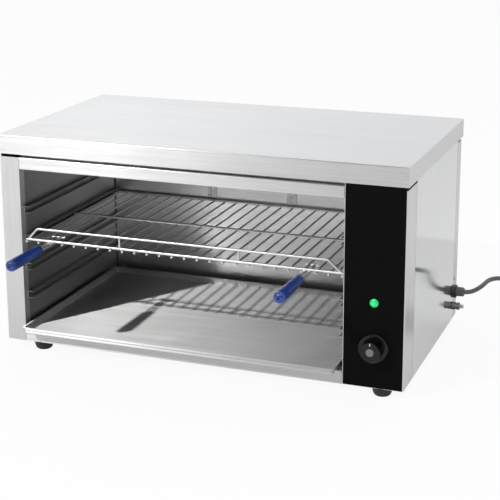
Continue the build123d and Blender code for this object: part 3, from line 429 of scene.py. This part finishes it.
class MELTER_OT_cavity(bpy.types.Operator):
    """Gives the liners, their runners and the insulation their finishes"""
    bl_idname = "melter.cavity"
    bl_label = "Cavity"

    def execute(self, context):
        steel = settings_of(context, "melter_steel")
        # Stainless liner, rolled, with soft bands along the rolling. Its colour is greyer than the outer
        # panels' as painted shade of the cavity.
        lengthways = brushed_steel(
            "stainless_liner_rolled_painted_shade_lengthways", steel.inner, steel.inner_worn,
            LENGTHWAYS, steel.inner_roughness, steel.anisotropy * LINER_BRUSHING)
        inwards = brushed_steel(
            "stainless_liner_rolled_painted_shade_inwards", steel.inner, steel.inner_worn,
            INWARDS, steel.inner_roughness, steel.anisotropy * LINER_BRUSHING)
        dress(lengthways, "ceiling_liner", "cavity_floor")
        # The back wall keeps the outer panels' colour, without the painted shade of the other liners, and is
        # a less brushed sheet that shows the floor in front.
        dress(
            brushed_steel(
                "stainless_back_liner_rolled", steel.outer, steel.outer_worn, LENGTHWAYS,
                steel.inner_roughness - BACK_GLOSSIER, steel.anisotropy * BACK_BRUSHING, strength=0.4),
            "rear_liner")
        dress(inwards, "left_liner", "right_liner")
        for level in range(1, 5):
            dress(inwards, f"left_runner_{level}", f"right_runner_{level}")
        dress(mineral_wool(), "insulation_left", "insulation_right", "insulation_rear", "insulation_top")
        return {"FINISHED"}


class MELTER_OT_tray(bpy.types.Operator):
    """Gives the crumb tray its rolled finish"""
    bl_idname = "melter.tray"
    bl_label = "Crumb tray"

    def execute(self, context):
        steel = settings_of(context, "melter_steel")
        # Stainless tray, rolled: duller than the outer panels, with one broad band of light.
        dress(
            brushed_steel(
                "stainless_tray_rolled", steel.outer, steel.outer_worn, LENGTHWAYS,
                steel.outer_roughness + TRAY_DULLER, anisotropy=0.96, strength=0.6),
            "crumb_tray")
        return {"FINISHED"}


class MELTER_OT_heating(bpy.types.Operator):
    """Gives the heating elements and their hangers their finishes"""
    bl_idname = "melter.heating"
    bl_label = "Heating"

    def execute(self, context):
        # Nickel-alloy sheath, drawn and oxidised by heat: a dull grey-brown skin.
        dress(
            plain_metal(
                "nickel_alloy_sheath_oxidised", "#77726c", "#4f4a46", roughness=0.42, mark_size=6.0),
            "heating_element_front", "heating_element_rear")
        # Stainless strip, punched: bare mill finish, a little darker than the liner behind it.
        dress(
            plain_metal("stainless_strap_punched", "#c4c3c1", "#a9a7a5", roughness=0.3, mark_size=5.0),
            "element_strap_left", "element_strap_right")
        return {"FINISHED"}


# ---- rack -------------------------------------------------------------------------------------

BEAD_UNEVEN = 0.12          # how far the skin of a bead rises and dips, as a share
BEAD_SEED = 7


def weld_beads(shape, places, seed):
    """Flattened, slightly uneven beads of weld metal at the given places and radii."""
    rng = random.Random(seed)
    for place, radius in places:
        made = bmesh.ops.create_icosphere(shape, subdivisions=2, radius=radius)
        squash = Vector((rng.uniform(0.85, 1.15), rng.uniform(0.85, 1.15), rng.uniform(0.7, 0.95)))
        turn = Matrix.Rotation(rng.uniform(0, math.pi), 3, "Z")
        for vert in made["verts"]:
            uneven = 1 + BEAD_UNEVEN * math.sin(vert.co.x * 2600 + place.x * 900) * math.cos(vert.co.y * 2300)
            spot = Vector((vert.co.x * squash.x, vert.co.y * squash.y, vert.co.z * squash.z))
            vert.co = turn @ (spot * uneven) + place


class MELTER_OT_rack(bpy.types.Operator):
    """Plates the wire rack, adds its weld beads and finishes the grips"""
    bl_idname = "melter.rack"
    bl_label = "Wire rack"

    def execute(self, context):
        rack = settings_of(context, "melter_rack")
        # Mild-steel wire, drawn and nickel-plated: bright, with small dull patches of handling.
        plating = plain_metal(
            "steel_wire_nickel_plated", rack.wire, "#dcdcde", roughness=0.36, mark_size=4.0)
        dress(plating, "wire_rack")
        places = []
        for wire_y in (RACK_FRONT, (RACK_FRONT + RACK_BACK) / 2, RACK_BACK):
            for bar in range(BAR_COUNT):
                bar_x = FIRST_BAR + bar * BAR_STEP
                places.append((Vector((bar_x, wire_y, WELD_HEIGHT)), rack.bead))
        for handle_x in HANDLES_X:
            for sign in (-1, 1):
                stem_x = handle_x + sign * STEM_SPACING / 2
                for back in STEM_BEADS_BACK:
                    places.append((Vector((stem_x, RACK_FRONT + back, STEM_WELD_HEIGHT)), rack.stem_bead))
                places.append((Vector((stem_x, STEM_BAR_Y, STEM_BAR_HEIGHT)), rack.bead * STEM_BAR_BEAD))
        for post_x in POSTS_X:
            for height in (CROSS_HEIGHT + POST_BEAD_ABOVE, GUARD_HEIGHT - POST_BEAD_BELOW):
                places.append((Vector((post_x, RACK_FRONT, height)), rack.bead * POST_BEAD))
        add_piece(
            "rack_weld_beads", lambda shape: weld_beads(shape, places, BEAD_SEED),
            plating, "rack")
        # PVC sleeve, dip-moulded: smooth and glossy, with a faint waviness.
        grip = moulded(
            "pvc_grip_moulded", rack.grip, rack.grip_shade,
            roughness=0.2, grain_size=1.6, grain_depth=0.0002, ior=1.53, coat=0.6)
        dress(grip, "left_handle_grip", "right_handle_grip")
        return {"FINISHED"}


# ---- controls ---------------------------------------------------------------------------------

def pointer_mark(shape, knob_x, face_y, knob_z, length, width, outer):
    """A thin raised mark with rounded ends, pointing out from the knob's middle."""
    outline = []
    for end, start in ((1, 0.0), (-1, math.pi)):
        for step in range(POINTER_STEPS + 1):
            angle = start + math.pi * step / POINTER_STEPS
            outline.append((
                knob_x + math.cos(angle) * width / 2,
                knob_z + outer - length / 2 + end * (length - width) / 2 + math.sin(angle) * width / 2,
            ))
    front = [shape.verts.new((x, face_y - POINTER_SKIN, z)) for x, z in outline]
    rear = [shape.verts.new((x, face_y + POINTER_SKIN, z)) for x, z in outline]
    shape.faces.new(front)
    shape.faces.new(list(reversed(rear)))
    for i in range(len(outline)):
        j = (i + 1) % len(outline)
        shape.faces.new((front[i], rear[i], rear[j], front[j]))


class MELTER_OT_controls(bpy.types.Operator):
    """Finishes the control panel: fascia, lamp, knob and what is behind them"""
    bl_idname = "melter.controls"
    bl_label = "Controls"

    def execute(self, context):
        controls = settings_of(context, "melter_controls")
        # Polyester film, screen-printed black: a fine sandy grain that spreads its shine.
        dress(
            moulded(
                "polyester_film_printed", controls.fascia, "#080808",
                roughness=0.5, grain_size=0.9, grain_depth=0.00005, ior=1.15),
            "control_fascia")
        dress(lit_lens(controls.lamp, controls.lamp_glow), "lamp_lens")
        # Nylon, injection-moulded: dull black.
        nylon = moulded(
            "nylon_moulded_black", "#2b2b2c", "#232324",
            roughness=0.5, grain_size=1.0, grain_depth=0.0001, ior=1.53)
        dress(nylon, "lamp_body")
        # Phenolic, compression-moulded: hard gloss black that shows bright curved highlights.
        dress(
            moulded(
                "phenolic_knob_moulded", "#0b0b0c", "#08080a",
                roughness=0.17, grain_size=1.2, grain_depth=0.00006, ior=1.42),
            "thermostat_knob")
        # Aluminium, anodised: an even mid grey with a soft shine.
        dress(
            plain_metal("aluminium_disc_anodised", "#8f9092", "#7c7d80", roughness=0.4, mark_size=1.5),
            "knob_disc")
        # Steel, zinc-plated and passivated: cool grey, slightly cloudy.
        dress(
            plain_metal(
                "zinc_plated_steel_passivated", "#c2c4c3", "#a5a7a3", roughness=0.33, mark_size=3.0),
            "thermostat_body", "thermostat_shaft")
        # Polyamide, injection-moulded: waxy off-white.
        dress(
            moulded(
                "polyamide_block_moulded", "#dcd8ca", "#cdc8b8",
                roughness=0.5, grain_size=1.5, grain_depth=0.0001),
            "terminal_block")
        low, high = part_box("thermostat_knob")
        middle = (low + high) / 2
        # White paint, pad-printed on the knob: flat and matt.
        paint = moulded(
            "acrylic_mark_pad_printed", "#e8e8e6", "#dededc",
            roughness=0.55, grain_size=0.8, grain_depth=0.00002)
        add_piece(
            "knob_pointer_mark",
            lambda shape: pointer_mark(
                shape, middle.x, low.y, middle.z,
                controls.tick_length, controls.tick_width, POINTER_OUTER),
            paint, "knob", smooth=False)
        return {"FINISHED"}


# ---- feet, screws, gland and stud -------------------------------------------------------------

class MELTER_OT_hardware(bpy.types.Operator):
    """Finishes the feet, screws, cord gland and bonding stud"""
    bl_idname = "melter.hardware"
    bl_label = "Hardware"

    def execute(self, context):
        # Nitrile rubber, moulded: matt black with a dusty bloom.
        rubber = moulded(
            "nitrile_rubber_moulded", "#232323", "#1a1a1a",
            roughness=0.68, grain_size=1.4, grain_depth=0.00015, ior=1.52, sheen=0.15)
        dress(rubber, "foot_front_left", "foot_front_right", "foot_rear_left", "foot_rear_right")
        # Nylon, injection-moulded: satin, near black on the gland's body and mid grey on its cap.
        nylon = moulded(
            "nylon_gland_moulded", "#2c2d2e", "#222324",
            roughness=0.46, grain_size=1.0, grain_depth=0.0001, ior=1.53)
        dress(nylon, "gland_body")
        dress(
            moulded(
                "nylon_cap_moulded", "#6e7073", "#626467",
                roughness=0.48, grain_size=1.0, grain_depth=0.0001, ior=1.53),
            "gland_cap")
        # Steel, zinc-plated: light grey and bright, with faint cloudy marks.
        zinc = plain_metal("steel_screw_zinc_plated", "#cdcfce", "#adb0ae", roughness=0.3, mark_size=2.0)
        dress(zinc, "foot_screws", "rear_panel_screws", "bonding_stud")
        # Steel nuts, nickel-plated: coloured a darker grey than the stud, with fine dull marks.
        dress(
            plain_metal("steel_nut_nickel_plated", "#666564", "#4a4a49", roughness=0.3, mark_size=2.0),
            "bonding_nuts")
        return {"FINISHED"}


# ---- mains cord and plug ----------------------------------------------------------------------

def cord_route(radius, pitch):
    """Control points of the cord's middle line, in metres: out of the gland, to the floor, round
    the coil in two layers, and up into the plug."""
    route = [Vector(point) / 1000 for point in CORD_POINTS]
    centre = Vector(COIL_CENTRE) / 1000
    total = 2 * TURNS_PER_LAYER
    # A curve drawn to its control points cuts inside them, so they stand a little further out.
    widen = 2 / (1 + math.cos(math.pi / POINTS_PER_TURN))
    for step in range(round(total * POINTS_PER_TURN) + 1):
        turn = step / POINTS_PER_TURN
        inward = TURNS_PER_LAYER - abs(turn - total / 2)
        # The second layer climbs on the first within half a turn about the middle.
        climb = min(max((turn - total / 2 + CLIMB_TURNS / 2) / CLIMB_TURNS, 0.0), 1.0)
        reach = (radius - pitch * inward) * widen
        angle = -2 * math.pi * turn
        route.append(centre + Vector((reach * math.cos(angle), reach * math.sin(angle), pitch * climb)))
    last = route[-1]
    seat = Vector(PLUG_SEAT) / 1000
    route.append(Vector((seat.x, last.y - LEAVING_COIL, last.z)))
    for before_plug in BEFORE_PLUG:
        route.append(Vector((seat.x, seat.y + before_plug, seat.z)))
    route.append(seat)
    return route


def lathe(shape, profile, start, sides=48, rib=None):
    """Turns a profile of (radius, distance along -Y) about the plug's axis; rib varies the radius."""
    rings = []
    for radius, along in profile:
        ring = []
        for side in range(sides):
            angle = 2 * math.pi * side / sides
            reach = radius * (rib(angle, along) if rib else 1.0)
            ring.append(shape.verts.new((
                start.x + reach * math.cos(angle), start.y - along, start.z + reach * math.sin(angle))))
        rings.append(ring)
    for near, far in zip(rings, rings[1:]):
        for side in range(sides):
            nxt = (side + 1) % sides
            shape.faces.new((near[side], near[nxt], far[nxt], far[side]))
    shape.faces.new(rings[0])
    shape.faces.new(list(reversed(rings[-1])))


class MELTER_OT_cord(bpy.types.Operator):
    """Lays the mains cord as one smooth curve and fits its plug"""
    bl_idname = "melter.cord"
    bl_label = "Mains cord"

    def execute(self, context):
        cord = settings_of(context, "melter_cord")
        # Chloroprene jacket, extruded: mid grey and matt, with a slight bloom.
        jacket = moulded(
            "chloroprene_jacket_extruded", cord.colour, "#6a6c6f",
            roughness=0.5, grain_size=1.2, grain_depth=0.0001, ior=1.52, sheen=0.1)
        route = cord_route(cord.coil_radius, cord.turn_pitch)
        line = bpy.data.curves.new("mains_cord", "CURVE")
        line.dimensions = "3D"
        line.bevel_depth = cord.diameter / 2
        line.bevel_resolution = 5
        line.resolution_u = 8
        line.use_fill_caps = True
        spline = line.splines.new("NURBS")
        spline.points.add(len(route) - 1)
        for point, place in zip(spline.points, route):
            point.co = (*place, 1.0)
        spline.order_u = 3
        spline.use_endpoint_u = True
        line.materials.append(jacket)
        mains = bpy.data.objects.new("mains_cord", line)
        context.scene.collection.objects.link(mains)
        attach(mains, "cabinet")
        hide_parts("power_cord", "cord_coil")

        # Rubber plug, moulded on the cord: dull near-black, with grooves to hold it by.
        plug_rubber = moulded(
            "rubber_plug_moulded", "#2e2f31", "#262729",
            roughness=0.55, grain_size=1.2, grain_depth=0.00012, ior=1.52)
        start = Vector(PLUG_SEAT) / 1000
        profile = [(radius / 1000, along / 1000) for radius, along in PLUG_PROFILE]

        def grip_ribs(angle, along):
            """Shallow grooves along the plug's body that fade out at both ends."""
            fade_in = min(max((along - RIBS_FROM) / RIBS_FADE, 0.0), 1.0)
            fade_out = min(max((RIBS_TO - along) / RIBS_FADE, 0.0), 1.0)
            return 1.0 - RIB_DEPTH * fade_in * fade_out * (0.5 + 0.5 * math.cos(angle * RIB_COUNT))

        body = add_piece(
            "plug_body", lambda shape: lathe(shape, profile, start, 96, grip_ribs),
            plug_rubber, "cabinet")

        def pins(shape):
            for sign in (-1, 1):
                root = start + Vector((sign * PIN_SPACING / 2000, -PIN_START / 1000, 0))
                lathe(shape, PIN_PROFILE, root, 24)

        # Brass pins, nickel-plated: bright and slightly warm.
        nickel = plain_metal("brass_pin_nickel_plated", "#d8d6cf", "#bbb8ae", roughness=0.22, mark_size=2.0)
        pin_piece = add_piece("plug_pins", pins, nickel, "cabinet")
        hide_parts("plug")
        return {"FINISHED"}


# ---- stage ------------------------------------------------------------------------------------

CAMERA_SHARE = 0.92     # of the floor that the camera sees as plain white
STEEL_SHARE = 0.25      # of the floor that reflections see as plain white


def floor_material():
    """Seamless white paper, matt: nearly plain white to the camera, with a faint shadow. In the
    steel it is mostly paper under the lamps, so there it is darker and its shadow is deeper."""
    material, tree = empty_material("paper_sweep_matt")
    point = add(tree, "ShaderNodeTexCoord", {}, "Object")
    rays = add(tree, "ShaderNodeLightPath", {}).node.outputs
    fibre = add(
        tree, "ShaderNodeTexNoise",
        {"Vector": point, "Scale": per_mm(3), "Detail": 4.0, "Roughness": 0.6}, "Fac")
    tone = add(
        tree, "ShaderNodeMapRange", {"Value": fibre, "From Min": NOISE_LOW, "From Max": NOISE_HIGH}, "Result")
    paper = add(
        tree, "ShaderNodeMix", {0: tone, 6: linear("#f0f0f0"), 7: linear("#f6f6f6")}, 2, data_type="RGBA")
    matt = add(tree, "ShaderNodeBsdfDiffuse", {"Color": paper})
    white = add(tree, "ShaderNodeEmission", {"Color": linear("#ffffff"), "Strength": 1.0})
    to_camera = add(
        tree, "ShaderNodeMath", {0: rays["Is Camera Ray"], 1: CAMERA_SHARE}, operation="MULTIPLY")
    to_steel = add(
        tree, "ShaderNodeMath", {0: rays["Is Glossy Ray"], 1: STEEL_SHARE}, operation="MULTIPLY")
    share = add(tree, "ShaderNodeMath", {0: to_camera, 1: to_steel}, operation="ADD")
    mixed = add(tree, "ShaderNodeMixShader", {0: share, 1: matt, 2: white})
    add(tree, "ShaderNodeOutputMaterial", {"Surface": mixed})
    return material


def light(name, place, target, size, power):
    """A white disc lamp that faces its target."""
    data = bpy.data.lights.new(name, "AREA")
    data.shape = "DISK"
    data.size = size
    data.energy = power
    lamp = bpy.data.objects.new(name, data)
    bpy.context.scene.collection.objects.link(lamp)
    lamp.location = place
    lamp.rotation_euler = (Vector(target) - Vector(place)).to_track_quat("-Z", "Y").to_euler()


class MELTER_OT_stage(bpy.types.Operator):
    """Sets the floor, the lamps, the backdrop and the camera"""
    bl_idname = "melter.stage"
    bl_label = "Stage"

    def execute(self, context):
        stage = settings_of(context, "melter_stage")
        scene = context.scene
        scene.view_settings.view_transform = "Standard"

        mesh = bpy.data.meshes.new("floor")
        half = FLOOR_HALF
        corners = [(-half, -half, 0), (half, -half, 0), (half, half, 0), (-half, half, 0)]
        mesh.from_pydata(corners, [], [(0, 1, 2, 3)])
        mesh.materials.append(floor_material())
        floor = bpy.data.objects.new("floor", mesh)
        scene.collection.objects.link(floor)

        world = bpy.data.worlds.new("studio")
        scene.world = world
        world.use_nodes = True
        tree = world.node_tree
        tree.nodes.clear()
        heading = add(tree, "ShaderNodeTexCoord", {}, "Generated")
        along = add(tree, "ShaderNodeSeparateXYZ", {"Vector": heading}, "Y")
        # The room in front is dim, and the backdrop behind is bright.
        glow = add(
            tree, "ShaderNodeMapRange",
            {"Value": along, "From Min": -0.45, "From Max": 0.35,
             "To Min": stage.room, "To Max": stage.backdrop}, "Result",
            interpolation_type="SMOOTHSTEP")
        lit = add(tree, "ShaderNodeBackground", {"Color": linear("#fbfcff"), "Strength": glow})
        white = add(tree, "ShaderNodeBackground", {"Color": linear("#ffffff"), "Strength": 1.0})
        to_camera = add(tree, "ShaderNodeLightPath", {}, "Is Camera Ray")
        add(
            tree, "ShaderNodeOutputWorld",
            {"Surface": add(tree, "ShaderNodeMixShader", {0: to_camera, 1: lit, 2: white})})

        # The key stands high at the front left, about 5 m away, and is small, for crisp shadows.
        light("key", KEY_PLACE, LAMP_TARGET, KEY_SIZE, stage.key_power)
        light("fill", FILL_PLACE, LAMP_TARGET, FILL_SIZE, stage.fill_power)

        data = bpy.data.cameras.new("camera")
        data.sensor_width = 36.0
        data.lens = stage.lens
        data.shift_y = CAMERA_SHIFT
        camera = bpy.data.objects.new("camera", data)
        scene.collection.objects.link(camera)
        yaw, pitch, roll = (math.radians(angle) for angle in CAMERA_ANGLES)
        level = math.cos(pitch)
        forward = Vector((-math.sin(yaw) * level, math.cos(yaw) * level, -math.sin(pitch)))
        side = Vector((math.cos(yaw), math.sin(yaw), 0.0))
        up = side.cross(forward)
        right = math.cos(roll) * side + math.sin(roll) * up
        above = -math.sin(roll) * side + math.cos(roll) * up
        turn = Matrix((right, above, -forward)).transposed()
        camera.matrix_world = Matrix.Translation(Vector(CAMERA_PLACE)) @ turn.to_4x4()
        scene.camera = camera
        return {"FINISHED"}


# ---- places and measures, in the frame's own coordinates --------------------------------------

# The stage, in metres. The camera's angles are its turn, tilt and roll in degrees.
FLOOR_HALF = 6.0
LAMP_TARGET = (0.0, 0.0, 0.15)
KEY_PLACE = (-2.42, -3.48, 3.09)
KEY_SIZE = 0.14
FILL_PLACE = (0.6, -2.2, 2.6)
FILL_SIZE = 1.6
CAMERA_PLACE = (0.6978, -1.7836, 0.7343)
CAMERA_ANGLES = (20.42, 13.8, -0.14)
CAMERA_SHIFT = -0.15        # of the picture's width, so that the verticals converge less

# The rack, in metres: its bars, and the places where its wires, stems and posts are welded.
BAR_COUNT = 26
FIRST_BAR = -0.2745
BAR_STEP = 0.019232
RACK_FRONT = -0.107
RACK_BACK = 0.1925
WELD_HEIGHT = 0.1676
CROSS_HEIGHT = 0.16945
GUARD_HEIGHT = 0.18645
POSTS_X = (-0.1258, 0.0562)
HANDLES_X = (-0.2360, 0.1563)
STEM_SPACING = 0.0074
STEM_WELD_HEIGHT = 0.1678
STEM_BAR_Y = -0.083
STEM_BAR_HEIGHT = 0.1686
# Beads at the stems, before and behind the front wire, and at the raised rail's posts.
STEM_BEADS_BACK = (-0.0012, 0.0016)
STEM_BAR_BEAD = 1.3         # times the bead at a crossing
POST_BEAD = 1.2
POST_BEAD_ABOVE = 0.0021    # over the front wire's middle
POST_BEAD_BELOW = 0.0018    # under the raised rail's middle

POINTER_OUTER = 0.0132      # the pointer mark's outer end from the knob's axis
POINTER_SKIN = 0.0001       # half of the mark's thickness
POINTER_STEPS = 6           # in each rounded end

# The cord, in millimetres: its listed route, the coil's middle, and the plug's start.
CORD_POINTS = (
    (305.0, 207.0, 55.0),
    (316.4, 207.0, 55.0),
    (327.4, 210.1, 58.7),
    (337.1, 219.8, 64.8),
    (344.0, 235.2, 71.0),
    (360.4, 246.7, 71.7),
    (395.2, 259.4, 63.2),
    (436.6, 259.4, 43.0),
    (468.9, 239.2, 21.0),
    (481.9, 210.0, 9.4),
    (483.3, 183.6, 3.5),
)
COIL_CENTRE = (434.3, 159.6, 3.5)
TURNS_PER_LAYER = 2.5
PLUG_SEAT = (483.3, 106.6, 18.6)
# Radius of the plug, and distance from where the cord enters it.
PLUG_PROFILE = (
    (3.9, 0.0), (4.5, 0.0), (4.9, 4.0), (4.4, 5.0), (4.4, 6.0), (5.3, 7.5), (5.3, 10.5), (4.8, 11.5),
    (4.8, 12.5), (5.7, 14.0), (5.7, 17.0), (5.3, 18.0), (5.3, 19.0), (6.0, 22.0), (9.5, 25.0),
    (12.8, 28.5), (14.6, 33.0), (16.0, 38.0), (17.4, 42.5), (18.3, 46.0), (18.5, 49.0),
    (18.5, 54.6), (17.9, 55.8), (16.9, 56.0),
)
PIN_START = 56.0
PIN_SPACING = 19.0

# In metres, where a length: how the cord leaves the coil and enters the plug, the plug's grooves
# and its pins. A turn of the coil has so many points.
POINTS_PER_TURN = 16
CLIMB_TURNS = 0.5
LEAVING_COIL = 0.016
BEFORE_PLUG = (0.023, 0.007)
RIBS_FROM = 0.026
RIBS_TO = 0.050
RIBS_FADE = 0.004
RIB_DEPTH = 0.035           # share of the radius
RIB_COUNT = 12
PIN_PROFILE = ((0.0024, -0.002), (0.0024, 0.0178), (0.0020, 0.0187), (0.0011, 0.019))


# ---- panel and registration -------------------------------------------------------------------

groups = {
    "melter_stage": MelterStage,
    "melter_cord": MelterCord,
    "melter_steel": MelterSteel,
    "melter_rack": MelterRack,
    "melter_controls": MelterControls,
}
operators = (
    MELTER_OT_stage,
    MELTER_OT_cord,
    MELTER_OT_cabinet,
    MELTER_OT_cavity,
    MELTER_OT_tray,
    MELTER_OT_heating,
    MELTER_OT_rack,
    MELTER_OT_controls,
    MELTER_OT_hardware,
)


class MELTER_PT_panel(bpy.types.Panel):
    """Lists the sizes, colours and pieces of the cheese melter"""
    bl_idname = "MELTER_PT_panel"
    bl_label = "Cheese melter"
    bl_space_type = "VIEW_3D"
    bl_region_type = "UI"
    bl_category = "Cheese melter"

    def draw(self, context):
        for name, group in groups.items():
            box = self.layout.box()
            values = settings_of(context, name)
            for prop in group.__annotations__:
                box.prop(values, prop)
        for operator in operators:
            self.layout.operator(operator.bl_idname)


def register():
    for kind in (*groups.values(), *operators, MELTER_PT_panel):
        bpy.utils.register_class(kind)
    for name, group in groups.items():
        setattr(bpy.types.Scene, name, bpy.props.PointerProperty(type=group))


def unregister():
    for name in groups:
        delattr(bpy.types.Scene, name)
    for kind in reversed((*groups.values(), *operators, MELTER_PT_panel)):
        bpy.utils.unregister_class(kind)


def main():
    register()
    for operator in operators:
        group, name = operator.bl_idname.split(".")
        getattr(getattr(bpy.ops, group), name)()


if __name__ == "__main__":
    main()
